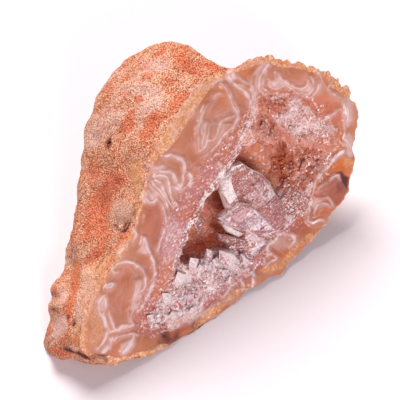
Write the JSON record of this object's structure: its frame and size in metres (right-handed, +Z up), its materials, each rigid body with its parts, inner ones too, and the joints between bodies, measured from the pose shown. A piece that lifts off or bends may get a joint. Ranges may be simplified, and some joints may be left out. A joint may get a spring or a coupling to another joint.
{
  "type": "agate geode",
  "caption": "Broken-open agate geode: lumpy sandy rind, banded agate wall round a hollow lined with clear and pinkish quartz crystals, lying on a worn flat.",
  "frame": {"origin": "centre of the outline at the height of the flat that the stone lies on", "axes": "+X along the longest direction towards the round end, +Z up, the broken face looks towards -Y and up"},
  "size_m": [0.0624, 0.0344, 0.0333],
  "materials": {
    "agate_rind": "sandy orange rind outside; smooth waxy banded agate on the broken face",
    "quartz_crust": "cloudy pinkish quartz crystals with glassy flat faces"
  },
  "bodies": {
    "root": {"geode_shell": "agate_rind", "crystal_crust": "quartz_crust"}
  },
  "joints": []
}
